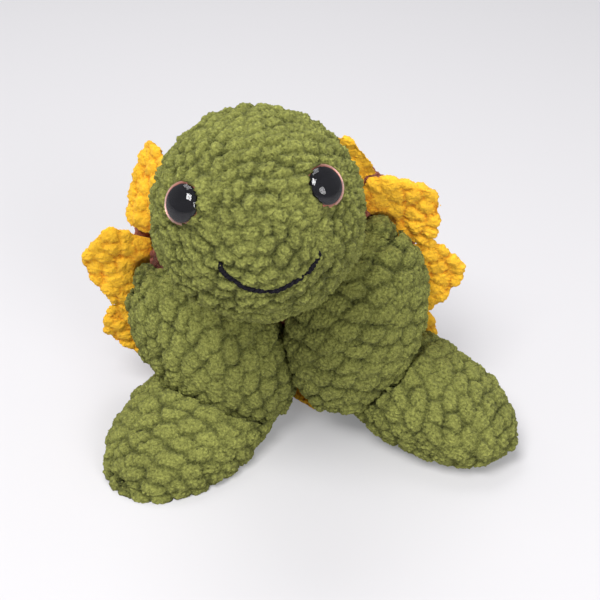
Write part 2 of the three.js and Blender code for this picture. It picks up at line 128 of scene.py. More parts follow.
def shader(name):
    """A new material, its nodes and links, and its main shader."""
    material = bpy.data.materials.new(name)
    material.use_nodes = True
    nodes = material.node_tree.nodes
    return material, nodes, material.node_tree.links, nodes["Principled BSDF"]


def pattern(nodes, links, kind, **values):
    """A texture that lies still on its piece, with the values of its sockets."""
    texture = nodes.new(kind)
    for name, value in values.items():
        texture.inputs[name].default_value = value
    links.new(nodes.new("ShaderNodeTexCoord").outputs["Object"], texture.inputs["Vector"])
    return texture


def two_tones(nodes, links, surface, texture, low, high):
    """Colours a surface between two tones, by a texture."""
    tones = nodes.new("ShaderNodeValToRGB")
    tones.color_ramp.elements[0].color = (*low, 1)
    tones.color_ramp.elements[1].color = (*high, 1)
    links.new(texture.outputs["Fac"], tones.inputs["Fac"])
    links.new(tones.outputs["Color"], surface.inputs["Base Color"])
    return tones


def bumps(nodes, links, surface, height, distance, strength):
    """Fine relief of a surface, by the height that an output gives."""
    relief = nodes.new("ShaderNodeBump")
    relief.inputs["Distance"].default_value = distance
    relief.inputs["Strength"].default_value = strength
    links.new(height, relief.inputs["Height"])
    links.new(relief.outputs["Normal"], surface.inputs["Normal"])


fibre, nodes, links, surface = shader("polyester_fibre")
surface.inputs["Roughness"].default_value = 1
surface.inputs["Sheen Weight"].default_value = 0.4
strands = pattern(nodes, links, "ShaderNodeTexNoise", Scale=260, Detail=6, Distortion=2.5)
two_tones(nodes, links, surface, strands, (0.62, 0.61, 0.57), (0.92, 0.92, 0.9))
bumps(nodes, links, surface, strands.outputs["Fac"], 1.2 * mm, 0.8)

body_filling = fibre_fill("body_stuffing", "body_filling")
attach(body_filling, "body")

# The shell
# The back of the body: a deep cup of brown chenille yarn, worked in rounds from the middle of the back and
# then two narrower rounds at its rim. Each stitch is a soft puff of pile between two rows of creases.
belly_radius = 84 * mm
shell_radius = 97 * mm
petal_thickness = 10 * mm
seam_plane = 10 * mm
shell_wide = 8 * mm
belly_depth = 40 * mm
shell_depth = 54 * mm
body_lean = math.radians(8)
body_middle = Vector((-18.77, 50.24, 106)) * mm
body_place = Matrix.Translation(body_middle) @ Matrix.Rotation(body_lean, 4, "X")
rim_half = petal_thickness / 2 + 0.3 * mm
fabric_grain = 1.6 * mm
shell_grain = 2 * mm
fabric_reach = 3.4 * mm
outline_step = 1 * mm
tuft_size = 2.8 * mm
tuft_swell = 1.3 * mm
tuft_tilt_scale = 700
crease_scale = 60
row_crease = 0.75
pressed_free = 0.8
least_free = 0.02
least_facing = -0.3
pressed_facing = 0.25
fill_reach = 30 * mm
rest_gap = 1 * mm
free_level = 0.85
floor_rest = 0.2 * mm
yarn_wander = 0.26
round_wander = 0.2
stitch_sizes = 0.7, 1.25
round_end = 0.004
quarter_steps = 12
lip_steps = 6
crease_depth = {"least": 0.45, "usual": 0.82, "varies": 0.9, "points": 8}
pile_level = 0.45
pile_varies = 0.5
shell_stitch = {
    "width": 11.5 * mm, "height": 10 * mm, "swell": 3.6 * mm, "slant": 0.3, "long": 0.5, "narrow": 3.6}


def spaced(outline, step):
    """The points of an outline at even distances, after its corners are rounded."""
    outline = np.array(outline)
    for _ in range(3):
        early = outline[:-1] * 0.75 + outline[1:] * 0.25
        late = outline[:-1] * 0.25 + outline[1:] * 0.75
        middle = np.stack([early, late], axis=1).reshape(-1, 2)
        outline = np.vstack([outline[:1], middle[1:-1], outline[-1:]])
    run = np.concatenate([[0], np.cumsum(np.linalg.norm(np.diff(outline, axis=0), axis=1))])
    marks = np.linspace(0, run[-1], max(8, round(run[-1] / step)))
    return np.stack([np.interp(marks, run, outline[:, i]) for i in (0, 1)], axis=1)


def work_rounds(outline, place, flat, stitch, seed):
    """The stitches of a round form, worked in rounds from the first point of its outline to the last.

    The outline holds distances along and out from the +Y axis of the place. Each stitch is a short slanted
    row of points, with its round and a size of its own.
    """
    chance = random.Random(seed)
    line = spaced(outline, outline_step)
    length = (len(line) - 1) * np.linalg.norm(line[1] - line[0])
    rounds = max(3, round(length / stitch["height"]))
    stitches = []
    for row in range(rounds):
        out = np.interp((row + 0.5) / rounds * (len(line) - 1), range(len(line)), line[:, 1])
        count = max(4, round(math.pi * out * (1 + flat) / stitch["width"]))
        first = chance.uniform(0, 1)
        for k in range(count):
            middle = k + first + chance.uniform(-yarn_wander, yarn_wander)
            lift = chance.uniform(-round_wander, round_wander) + k / count - 0.5
            points = []
            for end in (-1, 0, 1):
                turn = 2 * math.pi * (middle + end * stitch["slant"] / 2) / count
                share = (row + 0.5 + lift + end * stitch["long"] / 2) / rounds
                at = min(max(share, round_end), 1 - round_end) * (len(line) - 1)
                along = np.interp(at, range(len(line)), line[:, 0])
                out = np.interp(at, range(len(line)), line[:, 1])
                points.append(place @ Vector((out * math.cos(turn), along, out * math.sin(turn) * flat)))
            stitches.append((points, row, chance.uniform(*stitch_sizes)))
    return stitches


def seen_from(place, points):
    """Points in the axes of a place."""
    back = np.array(place.inverted())
    return points @ back[:3, :3].T + back[:3, 3]


def put_at(place, points):
    """Points that lie in the axes of a place, in the frame of the model."""
    onward = np.array(place)
    return points @ onward[:3, :3].T + onward[:3, 3]


def skin_of(piece):
    """The surface of a piece, to be searched and shot at."""
    return bvhtree.BVHTree.FromPolygons(
        [point.co for point in piece.data.vertices], [face.vertices for face in piece.data.polygons])


def unit_rows(rows):
    return rows / (np.linalg.norm(rows, axis=1)[:, None] + tiny)


def round_out(piece, outline, place, flat, reach, pockets, above):
    """Moves the points near a round form onto it, and returns how free each one is to swell.

    A point on the form is free, one on an outside face that a neighbour presses flat is a little less so,
    and one on the inside or in a pocket isn't. Under the limb above it, the fabric fills up to that limb.
    """
    line = spaced(outline, outline_step)
    local = seen_from(place, points_of(piece))
    out = np.hypot(local[:, 0], local[:, 2] / flat)
    gap = np.full(len(out), np.inf)
    nearest = np.zeros((len(out), 2))
    batch = 20000
    for start in range(0, len(out), batch):
        part = slice(start, start + batch)
        spot = np.stack([local[part, 1], out[part]], axis=1)
        far = np.linalg.norm(spot[:, None, :] - line[None, :, :], axis=2)
        best = far.argmin(axis=1)
        gap[part] = far[np.arange(len(best)), best]
        nearest[part] = line[best]
    middle = (line[:, 0].min() + line[:, 0].max()) / 2
    half = (line[:, 0].max() - line[:, 0].min()) / 2
    away = unit_rows(np.stack(
        [local[:, 0], (local[:, 1] - middle) * (line[:, 1].max() / half) ** 2, local[:, 2] / flat ** 2], axis=1))
    turned = normals_of(piece) @ np.array(place.inverted())[:3, :3].T
    faces_out = (turned * away).sum(axis=1)
    free = np.where(gap < reach, (faces_out > least_facing) * 1.0, (faces_out > pressed_facing) * pressed_free)
    for middle, way, radius in pockets:
        from_axis = points_of(piece) - np.array(middle)
        from_axis -= (from_axis @ np.array(way))[:, None] * np.array(way)
        free[np.linalg.norm(from_axis, axis=1) < radius] = 0
    pull = np.clip(2 - gap / reach, 0, 1) * (free > 0)
    if above:
        limb = skin_of(above)
        for i in np.flatnonzero((free > 0) & (free < 1) & (gap < fill_reach)):
            grow = nearest[i, 1] / max(out[i], least)
            target = place @ Vector((local[i, 0] * grow, nearest[i, 0], local[i, 2] * grow))
            start = place @ Vector(local[i])
            way = target - start
            hit = limb.ray_cast(start, way.normalized(), way.length + rest_gap)[3]
            pull[i] = 1 if hit is None else max(pull[i], min(1, (hit - rest_gap) / way.length))
    grow = 1 + pull * (nearest[:, 1] / np.maximum(out, least) - 1)
    local[:, 0] *= grow
    local[:, 2] *= grow
    local[:, 1] += pull * (nearest[:, 0] - local[:, 1])
    move_points(piece, put_at(place, local))
    return free


def split_faces(piece, chosen):
    """Splits the faces of which each point is chosen in four."""
    select_only(piece)
    bpy.ops.object.mode_set(mode="EDIT")
    bpy.ops.mesh.select_all(action="DESELECT")
    bpy.ops.mesh.select_mode(type="FACE")
    mesh = bmesh.from_edit_mesh(piece.data)
    for face in mesh.faces:
        if all(chosen[point.index] for point in face.verts):
            face.select_set(True)
    bmesh.update_edit_mesh(piece.data)
    bpy.ops.mesh.subdivide(number_cuts=1)
    bpy.ops.object.mode_set(mode="OBJECT")


def spread_out(piece, values, times):
    """Evens a number over neighbouring points."""
    edges = np.empty(len(piece.data.edges) * 2, int)
    piece.data.edges.foreach_get("vertices", edges)
    one, other = edges.reshape(-1, 2).T
    ties = np.bincount(one, minlength=len(values)) + np.bincount(other, minlength=len(values))
    for _ in range(times):
        total = np.bincount(one, values[other], len(values)) + np.bincount(other, values[one], len(values))
        values = (values + total) / (1 + ties)
    return values


def puff_stitches(piece, stitches, swell, free, narrow, top_level=free_level):
    """Raises each stitch as a soft puff with tufts of pile, and draws the fabric in at the creases.

    The higher narrow is, the thinner the creases are. The top level is the part of the swell that stays below
    the surface of the form.
    """
    tree = kdtree.KDTree(sum(len(points) for points, _, _ in stitches))
    owner = []
    for number, (points, _, _) in enumerate(stitches):
        for point in points:
            tree.insert(point, len(owner))
            owner.append(number)
    tree.balance()
    places = points_of(piece)
    puff = np.zeros(len(places))
    scale = np.ones(len(places))
    pile = np.zeros(len(places))
    for i, place in enumerate(places):
        if free[i] < least_free:
            continue
        found = tree.find_n(place, crease_depth["points"])
        first = owner[found[0][1]]
        second, far = next(
            ((owner[number], far) for _, number, far in found if owner[number] != first), (first, found[-1][2]))
        edge = min(1, 2 * found[0][2] / (found[0][2] + far + tiny))
        spot = Vector(place)
        depth = row_crease if stitches[first][1] == stitches[second][1] else 1
        uneven = crease_depth["usual"] + crease_depth["varies"] * noise.noise(spot * crease_scale)
        depth *= min(1, max(crease_depth["least"], uneven))
        puff[i] = 1 - depth * edge ** narrow
        scale[i] = stitches[first][2]
        near = noise.voronoi(spot / tuft_size)[0]
        pile[i] = pile_level - (near[0] / (near[1] + least)) ** 2
        pile[i] += pile_varies * noise.noise(spot * tuft_tilt_scale)
    scale = spread_out(piece, scale, 4)
    puff = spread_out(piece, puff, 1)
    free_now = np.clip(free, 0, 1)
    pressed = free_now < (1 + pressed_free) / 2
    level = spread_out(piece, np.where(pressed, 1.0, top_level), 4)
    rise = spread_out(piece, swell * (puff * scale - level), 2) + tuft_swell * pile
    rise = np.where(pressed, np.minimum(rise, 0), rise) * free_now
    ways = unit_rows(np.stack([spread_out(piece, way, 4) for way in normals_of(piece).T], axis=1))
    moved = places + ways * rise[:, None]
    moved[:, 2] = np.where(free_now > least_free, np.maximum(moved[:, 2], floor_rest), moved[:, 2])
    move_points(piece, moved)
    # The material paints shade by these numbers: dark in the creases, where puff is low, and between the tufts,
    # where pile is low
    keep_value(piece, "puff", np.clip(puff, 0, 1) * np.minimum(1, free_now / pressed_free))
    keep_value(piece, "pile", np.clip(0.55 + 0.7 * pile, 0, 1))
    piece.data.shade_smooth()


def chenille(name, tops, hollows, body, speckle, sheen, sheen_tint):
    """Chenille yarn: a short dense pile, light on the puffs of the stitches, with painted shade in their creases
    and between its tufts.

    Body is how near the middle tone lies to the tops, and speckle how much single fibres show. Tops is the
    colour of the puffs, and hollows the painted shade of the deepest creases.
    """
    material, nodes, links, surface = shader(name)
    surface.inputs["Roughness"].default_value = 0.95
    surface.inputs["Specular IOR Level"].default_value = 0.12
    surface.inputs["Sheen Weight"].default_value = sheen
    surface.inputs["Sheen Roughness"].default_value = 0.55
    surface.inputs["Sheen Tint"].default_value = (*sheen_tint, 1)
    puff = nodes.new("ShaderNodeAttribute")
    puff.attribute_name = "puff"
    pile = nodes.new("ShaderNodeAttribute")
    pile.attribute_name = "pile"
    fibres = pattern(nodes, links, "ShaderNodeTexNoise", Scale=900, Detail=3, Roughness=0.7)
    tufts = pattern(nodes, links, "ShaderNodeTexVoronoi", Scale=420)
    wear = pattern(nodes, links, "ShaderNodeTexNoise", Scale=26, Detail=3)

    # How deep a spot lies: in a crease, between two tufts, or between two fibres. Deeper spots get more painted
    # shade.
    above = None
    for layer, weight in (
        (puff.outputs["Fac"], 1.2 - 0.35 * speckle), (pile.outputs["Fac"], 0.4),
        (fibres.outputs["Fac"], 0.3 + 1.2 * speckle), (tufts.outputs["Distance"], -0.45 * speckle),
    ):
        share = nodes.new("ShaderNodeMath")
        share.operation = "MULTIPLY_ADD"
        share.inputs[1].default_value = weight
        share.inputs[2].default_value = 0
        links.new(layer, share.inputs[0])
        if above:
            links.new(above.outputs[0], share.inputs[2])
        above = share
    depth = nodes.new("ShaderNodeMapRange")
    depth.inputs["From Min"].default_value = 0.5
    depth.inputs["From Max"].default_value = 1.95
    links.new(above.outputs[0], depth.inputs["Value"])
    # Painted shade: the deeper a spot lies, the nearer its colour comes to the hollows colour
    painted_depth_shade = nodes.new("ShaderNodeValToRGB")
    painted_depth_shade.color_ramp.elements[0].color = (*hollows, 1)
    painted_depth_shade.color_ramp.elements[1].color = (*tops, 1)
    between = painted_depth_shade.color_ramp.elements.new(0.5)
    between.color = (*[(1 - body) * low + body * high for low, high in zip(hollows, tops)], 1)
    links.new(depth.outputs[0], painted_depth_shade.inputs["Fac"])
    shift = nodes.new("ShaderNodeMapRange")
    shift.inputs["From Min"].default_value = 0.3
    shift.inputs["From Max"].default_value = 0.7
    shift.inputs["To Min"].default_value = 0.84
    shift.inputs["To Max"].default_value = 1.1
    links.new(wear.outputs["Fac"], shift.inputs["Value"])
    tone = nodes.new("ShaderNodeHueSaturation")
    links.new(painted_depth_shade.outputs["Color"], tone.inputs["Color"])
    links.new(shift.outputs[0], tone.inputs["Value"])
    links.new(tone.outputs["Color"], surface.inputs["Base Color"])

    # Tufts of pile about 2 mm across, and single fibres in them
    fluff = nodes.new("ShaderNodeMath")
    fluff.operation = "MULTIPLY_ADD"
    fluff.inputs[1].default_value = -0.7
    links.new(tufts.outputs["Distance"], fluff.inputs[0])
    links.new(fibres.outputs["Fac"], fluff.inputs[2])
    bumps(nodes, links, surface, fluff.outputs[0], 1.4 * mm, 0.45 + 0.5 * speckle)
    return material


# The hollows colour is painted shade for the creases of the brown yarn
brown_yarn = chenille(
    "brown_chenille", tops=(0.44, 0.135, 0.085), hollows=(0.055, 0.012, 0.007), body=0.5, speckle=1,
    sheen=0.15, sheen_tint=(0.9, 0.6, 0.5))


def swell_outline(radius, start, end):
    """A quarter of an ellipse, from its widest place to its end on the axis."""
    turns = [k / quarter_steps * math.pi / 2 for k in range(quarter_steps + 1)]
    return [(start + (end - start) * math.sin(turn), radius * math.cos(turn)) for turn in turns]


def dress(node, name, body, material, outline, place, flat, stitch, seed, pockets=(), above=None,
          grain=fabric_grain, softness=3):
    """Makes the crocheted piece that stands for a node, out of that node's own solid.

    The outline and the place give its round form, and flat how thin that is across. No stitch swells in the
    pockets, where the eyes sit, and above is the limb that lies on the piece.
    """
    piece = even_copy(node, name, grain, softness)
    free = round_out(piece, outline, place, flat, fabric_reach, pockets, above)
    split_faces(piece, free > 0)
    free = round_out(piece, outline, place, flat, fabric_reach, pockets, above)
    free = spread_out(piece, free, 3)
    stitches = work_rounds(outline, place, flat, stitch, seed)
    puff_stitches(piece, stitches, stitch["swell"], free, stitch["narrow"])
    piece.data.materials.append(material)
    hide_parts(node)
    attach(piece, body)
    return piece


lip = [
    (
        shell_wide - (shell_wide + seam_plane - rim_half) * math.cos(k / lip_steps * math.pi / 2),
        belly_radius + (shell_radius - belly_radius) * math.sin(k / lip_steps * math.pi / 2),
    )
    for k in range(lip_steps)
]
shell_outline = [*lip, *swell_outline(shell_radius, shell_wide, shell_depth)][::-1]
dress("shell_back", "shell", "body", brown_yarn, shell_outline, body_place, flat=1,
      stitch=shell_stitch, seed=11, grain=shell_grain)

# The belly
# A flatter cup of the same yarn, worked in rounds from its middle. Head and flippers are sewn on to it.
# Its rim is sewn to the rim of the shell, with the petals between them.
belly_stitch = {"width": 11.5 * mm, "height": 10 * mm, "swell": 5 * mm, "slant": 0.3, "long": 0.4, "narrow": 3.6}
belly_outline = swell_outline(belly_radius, -seam_plane - rim_half, -belly_depth)[::-1]
dress("belly_panel", "belly", "body", brown_yarn, belly_outline, body_place, flat=1,
      stitch=belly_stitch, seed=12, softness=9)

# The petals
# Ten pads of yellow chenille, each worked double in short rows that narrow to a round point, and folded
# in between the rims of belly and shell. The pile crumples into bumps in uneven rows.
petal_grain = 1.1 * mm
petal_softness = 24
petal_bump = {"space": 11.5 * mm, "swell": 3.4 * mm, "narrow": 4.5, "level": 0.62}
brushed_petals = 3, 4, 8, 9
brushed_level = 1.35
petal_root = 90 * mm
petal_run = 12 * mm
petal_seed = 20
petal_count = 10
root_free = 0.4
bump_apart = 0.8
bump_sizes = 0.75, 1.2
petal_spreads = {6: Vector((0, 0, 6)) * mm, 7: Vector((-3, 0, 5)) * mm}
spread_from = 0.4
folded_petal = 9
fold_start = 45 * mm
fold_run = 18 * mm
fold_forward = 9 * mm
fold_aside = 5 * mm
most_tries = 6000
# The hollows colour is painted shade for the creases of the yellow petals
yellow_yarn = chenille(
    "yellow_chenille", tops=(1, 0.565, 0.034), hollows=(0.62, 0.165, 0.003), body=0.9, speckle=0.75,
    sheen=0.14, sheen_tint=(1, 0.82, 0.45))


def scatter_stitches(piece, space, seed):
    """Stitches of a crumpled pad: points of its surface that keep a distance from each other."""
    chance = random.Random(seed)
    places = points_of(piece)
    order = list(range(len(places)))
    chance.shuffle(order)
    cells = {}
    kept = []
    for number in order[:most_tries]:
        place = places[number]
        cell = tuple((place // space).astype(int))
        near = [
            other
            for dx in (-1, 0, 1)
            for dy in (-1, 0, 1)
            for dz in (-1, 0, 1)
            for other in cells.get((cell[0] + dx, cell[1] + dy, cell[2] + dz), ())
        ]
        if all(np.linalg.norm(place - other) > space * bump_apart for other in near):
            cells.setdefault(cell, []).append(place)
            kept.append(([Vector(place)], len(kept), chance.uniform(*bump_sizes)))
    return kept


for number in range(1, petal_count + 1):
    node = f"petal_{number:02d}"
    petal = even_copy(node, f"petal_pad_{number}", petal_grain, petal_softness)
    if number in petal_spreads:
        places = points_of(petal)
        spread = np.array(petal_spreads[number])
        along = places @ spread
        share = (along - along.min()) / np.ptp(along)
        move_points(petal, places + (np.clip(share - spread_from, 0, 1) / (1 - spread_from))[:, None] * spread)
    if number == folded_petal:
        places = points_of(petal)
        share = np.clip((fold_start - places[:, 1]) / fold_run, 0, 1)
        places[:, 1] -= share * fold_forward
        places[:, 0] += share * fold_aside
        move_points(petal, places)
    out = np.linalg.norm(points_of(petal) - np.array(body_middle), axis=1)
    free = np.clip((out - petal_root) / petal_run, root_free, 1)
    stitches = scatter_stitches(petal, petal_bump["space"], petal_seed + number)
    level = brushed_level if number in brushed_petals else petal_bump["level"]
    puff_stitches(petal, stitches, petal_bump["swell"], free, petal_bump["narrow"], level)
    petal.data.materials.append(yellow_yarn)
    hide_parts(node)
    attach(petal, "body")

# The seam round the rim
# One length of brown yarn, whipped over and over between the two cups, through the foot of each petal.
rim_stitches = 60
turn_points = 12
rim_middle = 77.8 * mm
rim_sway = 0.4 * mm
rim_yarn = 2.4 * mm
seam_clear = 70 * mm


def yarn_along(name, points, radius, closed):
    """A round yarn of one unbroken curve, as a mesh."""
    curve = bpy.data.curves.new(name, "CURVE")
    curve.dimensions = "3D"
    curve.bevel_depth = radius
    curve.bevel_resolution = 2
    spline = curve.splines.new("POLY")
    spline.points.add(len(points) - 1)
    for spot, point in zip(spline.points, points):
        spot.co = (*point, 1)
    spline.use_cyclic_u = closed
    curve.use_fill_caps = not closed
    piece = bpy.data.objects.new(name, curve)
    bpy.context.scene.collection.objects.link(piece)
    select_only(piece)
    bpy.ops.object.convert(target="MESH")
    piece = bpy.context.view_layer.objects.active
    piece.data.shade_smooth()
    return piece


def spun_yarn(name, tops, hollows, ply, sheen):
    """Plain yarn with a fine fuzz: ply is how many spots of it there are in a metre."""
    material, nodes, links, surface = shader(name)
    surface.inputs["Roughness"].default_value = 0.9
    surface.inputs["Specular IOR Level"].default_value = 0.1
    surface.inputs["Sheen Weight"].default_value = sheen
    fuzz = pattern(nodes, links, "ShaderNodeTexNoise", Scale=ply, Detail=4)
    tones = two_tones(nodes, links, surface, fuzz, hollows, tops)
    tones.color_ramp.elements[0].position = 0.3
    tones.color_ramp.elements[1].position = 0.7
    bumps(nodes, links, surface, fuzz.outputs["Fac"], 0.5 * mm, 0.7)
    return material


whip_points = []
for k in range(rim_stitches * turn_points):
    turn = 2 * math.pi * k / (rim_stitches * turn_points)
    wave = 2 * math.pi * k / turn_points
    out = rim_middle + rim_sway * math.cos(wave)
    whip_points.append(body_place @ Vector((
        out * math.cos(turn), -seam_plane + (rim_half - rim_yarn) * math.sin(wave), out * math.sin(turn))))
rim_whip = yarn_along("rim_whip_stitch", whip_points, rim_yarn, True)
rim_whip.data.materials.append(spun_yarn(
    "brown_seam_yarn", tops=(0.3, 0.11, 0.07), hollows=(0.08, 0.02, 0.015), ply=900, sheen=0.2))
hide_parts("rim_seam")
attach(rim_whip, "body")

# The filling keeps clear of the yarn of the seam
local = seen_from(body_place, points_of(body_filling))
out = np.hypot(local[:, 0], local[:, 2])
near = np.exp(-((local[:, 1] + seam_plane) / (2 * rim_half)) ** 2)
local[:, ::2] *= (1 - near * np.clip(1 - seam_clear / np.maximum(out, least), 0, 1))[:, None]
move_points(body_filling, put_at(body_place, local))

# The flippers
# Each flipper is worked in rounds of green chenille from its tip, filled, and sewn on at its root with
# the tail of its yarn, so it swings about that seam. The front ones lie folded over the belly.
front_size = {"length": 138 * mm, "width": 92 * mm, "thickness": 68 * mm}
hind_size = {"length": 145 * mm, "width": 90 * mm, "thickness": 66 * mm}
root_reach = 10 * mm
pod_shares = [(0, 0), (0.02, 0.3), (0.06, 0.52), (0.14, 0.74), (0.26, 0.91), (0.4, 1), (0.56, 1),
              (0.72, 0.9), (0.86, 0.68), (0.95, 0.42), (1, 0)]
front_way = Vector((0, -1, 0))
up_way = Vector((0, 0, 1))
flippers = {
    "front_left": {"size": front_size, "spread": 1, "yaw": -39, "pitch": -68, "faces": front_way,
                   "joint": "front_left_lift"},
    "front_right": {"size": front_size, "spread": 1, "yaw": 68, "pitch": -41, "faces": front_way,
                    "joint": "front_right_lift"},
    "hind_left": {"size": hind_size, "spread": 1, "yaw": 55, "pitch": -12, "faces": up_way,
                  "joint": "hind_left_droop"},
    "hind_right": {"size": hind_size, "spread": 1.1, "yaw": -39, "pitch": -13, "faces": up_way,
                   "joint": "hind_right_droop"},
}
flipper_stitch = {
    "width": 14 * mm, "height": 13 * mm, "swell": 4.6 * mm, "slant": 0.35, "long": 0.35, "narrow": 6}
flipper_seed = 40
gather_bump = {"space": 8 * mm, "swell": 2.6 * mm, "narrow": 2.6}
gather_softness = 4
gather_seed = 70
# The hollows colour is painted shade for the creases of the green yarn
green_yarn = chenille(
    "green_chenille", tops=(0.36, 0.375, 0.093), hollows=(0.011, 0.015, 0.003), body=0.38, speckle=1.15,
    sheen=0.08, sheen_tint=(0.85, 0.9, 0.5))


def joint_value(joint, value):
    return Vector(next(entry[value] for entry in frame["joints"] if entry["name"] == joint))


def lie(point, yaw, pitch, facing):
    """The place of a limb: +Y runs along it and +Z is the side that shows."""
    yaw, pitch = math.radians(yaw), math.radians(pitch)
    along = Vector((math.sin(yaw) * math.cos(pitch), -math.cos(yaw) * math.cos(pitch), math.sin(pitch)))
    across = along.cross(facing).normalized()
    out = across.cross(along)
    turn = Matrix((across, along, out)).transposed().to_4x4()
    return Matrix.Translation(point) @ turn


def gather(node, name):
    """A gathered seam: a ball of stitches pulled in on the tail of the yarn and sewn over and over."""
    piece = even_copy(node, name, petal_grain, gather_softness)
    everywhere = np.ones(len(piece.data.vertices))
    stitches = scatter_stitches(piece, gather_bump["space"], gather_seed)
    puff_stitches(piece, stitches, gather_bump["swell"], everywhere, gather_bump["narrow"])
    piece.data.materials.append(green_yarn)
    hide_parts(node)
    return piece


limb_above = {}
for number, (side, flipper) in enumerate(flippers.items()):
    size = flipper["size"]
    wide = size["width"] / 2 * flipper["spread"]
    flat = size["thickness"] / 2 / flipper["spread"] / wide
    outline = [(along * size["length"] - root_reach, out * wide) for along, out in pod_shares][::-1]
    lying = lie(joint_value(flipper["joint"], "pos_m"), flipper["yaw"], flipper["pitch"], flipper["faces"])
    body = f"{side}_flipper"
    fabric = dress(f"{body}_cover", f"{body}_fabric", body, green_yarn, outline, lying, flat,
                   stitch=flipper_stitch, seed=flipper_seed + number, above=limb_above.get(side))
    limb_above[side.replace("front", "hind")] = fabric
    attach(fibre_fill(f"{body}_stuffing", f"{body}_filling"), body)
    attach(gather(f"{body}_seam", f"{body}_gather"), body)

# The head
# A ball of green chenille, worked in rounds from the nose to the neck, filled firmly and gathered on to
# the body. Its stitches are smaller and tighter than those of the flippers.
head_radius = 61.5 * mm
neck_gap = 2 * mm
head_roll = math.radians(5.5)
head_stitch = {"width": 11 * mm, "height": 9 * mm, "swell": 4.6 * mm, "slant": 0.35, "long": 0.4, "narrow": 3.6}
neck_point = joint_value("head_turn", "pos_m")
face_way = joint_value("head_turn", "axis").normalized()
if face_way.y > 0:
    face_way.negate()
head_up = Vector((-math.sin(head_roll), 0, math.cos(head_roll)))
head_middle = neck_point + face_way * (head_radius + neck_gap)
head_across = face_way.cross(head_up).normalized()
head_turn = Matrix((head_across, face_way, head_across.cross(face_way))).transposed().to_4x4()
head_place = Matrix.Translation(head_middle) @ head_turn
head_steps = 40
head_outline = [
    (head_radius * math.cos(k / head_steps * math.pi), head_radius * math.sin(k / head_steps * math.pi))
    for k in range(head_steps + 1)
]
eye_radius = 12 * mm
eye_gap = 0.3 * mm
eye_seats = {}
for side in ("left", "right"):
    iris_middle = Vector(points_of(frame["nodes"][f"eye_iris_{side}"]).mean(axis=0))
    washer_middle = Vector(points_of(frame["nodes"][f"eye_washer_{side}"]).mean(axis=0))
    eye_seats[side] = iris_middle, (iris_middle - washer_middle).normalized()
eye_pockets = [(middle, way, eye_radius + 2 * eye_gap) for middle, way in eye_seats.values()]
head = dress("head_cover", "head_fabric", "head", green_yarn, head_outline, head_place, flat=1,
             stitch=head_stitch, seed=60, pockets=eye_pockets)

# Round each eye the pile stands up as a lip, and on the side of the nose it leans over the edge of the dome
eye_lip = {"rise": 2 * mm, "wide": 7 * mm, "inner": 0.94, "below": 4 * mm,
           "hood": 2.6 * mm, "hood_wide": 3 * mm, "hood_out": 1 * mm, "hood_from": 0.1, "hood_run": 0.7,
           "lean": 0.8 * mm, "lean_run": 1 * mm}
dome_top = 9.3 * mm
dome_foot = 2 * mm
places = points_of(head)
for middle, way in eye_seats.values():
    axis = np.array(way)
    offset = places - np.array(middle)
    height = offset @ axis
    flat_offset = offset - height[:, None] * axis
    radius = np.linalg.norm(flat_offset, axis=1)
    around = flat_offset / (radius[:, None] + tiny)
    to_nose = np.array(head_middle + face_way * head_radius - middle)
    to_nose -= (to_nose @ axis) * axis
    to_nose /= np.linalg.norm(to_nose)
    nose_side = np.clip((around @ to_nose - eye_lip["hood_from"]) / eye_lip["hood_run"], 0, 1)
    near = np.clip(1 - (radius - eye_radius) / eye_lip["wide"], 0, 1) * (radius > eye_radius * eye_lip["inner"])
    near *= np.clip((height + eye_lip["below"]) / eye_lip["below"], 0, 1)
    from_hood = (radius - eye_radius - eye_lip["hood_out"]) / eye_lip["hood_wide"]
    hood = nose_side * np.exp(-from_hood ** 2) * (near > 0)
    places += (near ** 1.5 * eye_lip["rise"] + hood * eye_lip["hood"])[:, None] * axis
    lean = hood * eye_lip["lean"] * np.clip(height / eye_lip["lean_run"], 0, 1)
    places -= lean[:, None] * around
    offset = places - np.array(middle)
    height = offset @ axis
    radius = np.linalg.norm(offset - height[:, None] * axis, axis=1)
    dome_edge = eye_radius + eye_gap
    dome = dome_foot + (dome_top - dome_foot) * np.sqrt(np.clip(1 - (radius / dome_edge) ** 2, 0, 1))
    under = (near > 0) & (radius < dome_edge) & (height > 0) & (height < dome + eye_gap)
    places += np.where(under, dome + eye_gap - height, 0)[:, None] * axis
move_points(head, places)

# Close under the head the front flippers are pressed in a little, and the pile in that hollow gets painted shade
# from the chin above it
chin_hollow = {"deep": 5 * mm, "wide": 15 * mm, "dark": 0.95}
least_puff = 0.01
chin = skin_of(head)
for side in ("left", "right"):
    flipper = limb_above[f"hind_{side}"]
    puff = np.empty(len(flipper.data.vertices), np.float32)
    flipper.data.attributes["puff"].data.foreach_get("value", puff)
    places = points_of(flipper)
    near = np.zeros(len(places))
    for i in np.flatnonzero(puff > least_puff):
        far = chin.find_nearest(places[i], chin_hollow["wide"])[3]
        near[i] = 0 if far is None else 1 - far / chin_hollow["wide"]
    near = spread_out(flipper, near ** 1.5, 3) * (puff > least_puff)
    move_points(flipper, places - normals_of(flipper) * (near * chin_hollow["deep"])[:, None])
    # Painted shade under the chin: the puff number, which sets the crease shade of the material, drops by the
    # dark share near the head
    puff = np.asarray(puff * (1 - chin_hollow["dark"] * near), np.float32)
    flipper.data.attributes["puff"].data.foreach_set("value", puff)
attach(fibre_fill("head_stuffing", "head_filling"), "head")
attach(gather("neck_seam", "neck_gather"), "neck")

# The safety eyes
# Clear moulded domes over black pupils with a pearly copper ring behind them, pushed in from outside on a
# ribbed stem and held by a washer on the inside.
dome_height = 8.5 * mm
eye_edge = 1.2 * mm
pupil_radius = 8.5 * mm
pupil_thickness = 1.4 * mm
iris_thickness = 1 * mm
stem_radius = 2.4 * mm
stem_length = 19 * mm
stem_ribs = 6
rib_share = 0.7
rib_waist = 0.82
eye_bond = 0.06 * mm
ring_steps = 6
flat_facing = 0.9
eye_sides = 64
pupil_round = 0.2 * mm
sharp_edge = math.radians(35)

